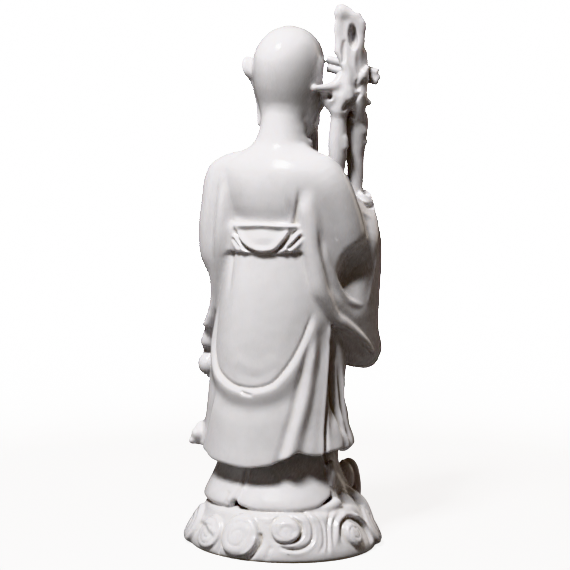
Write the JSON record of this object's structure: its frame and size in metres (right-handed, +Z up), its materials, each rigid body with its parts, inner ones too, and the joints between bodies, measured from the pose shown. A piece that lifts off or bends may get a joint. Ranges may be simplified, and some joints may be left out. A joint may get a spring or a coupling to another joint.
{
  "type": "shou lao figure",
  "caption": "White glazed porcelain figure of a robed old man of long life with a knotted staff, scroll and peach, standing on a base of curling clouds.",
  "frame": {"origin": "middle of the flat underside of the cloud base", "axes": "+Z up through the figure, -Y the way he faces, +X his left side"},
  "size_m": [0.1215, 0.105, 0.3305],
  "materials": {
    "glaze": "glossy clear glaze over white porcelain, faintly warm, with small pinholes and soft pooled glaze in the folds"
  },
  "bodies": {
    "root": {"shou_lao_figure": "glaze"}
  },
  "joints": []
}
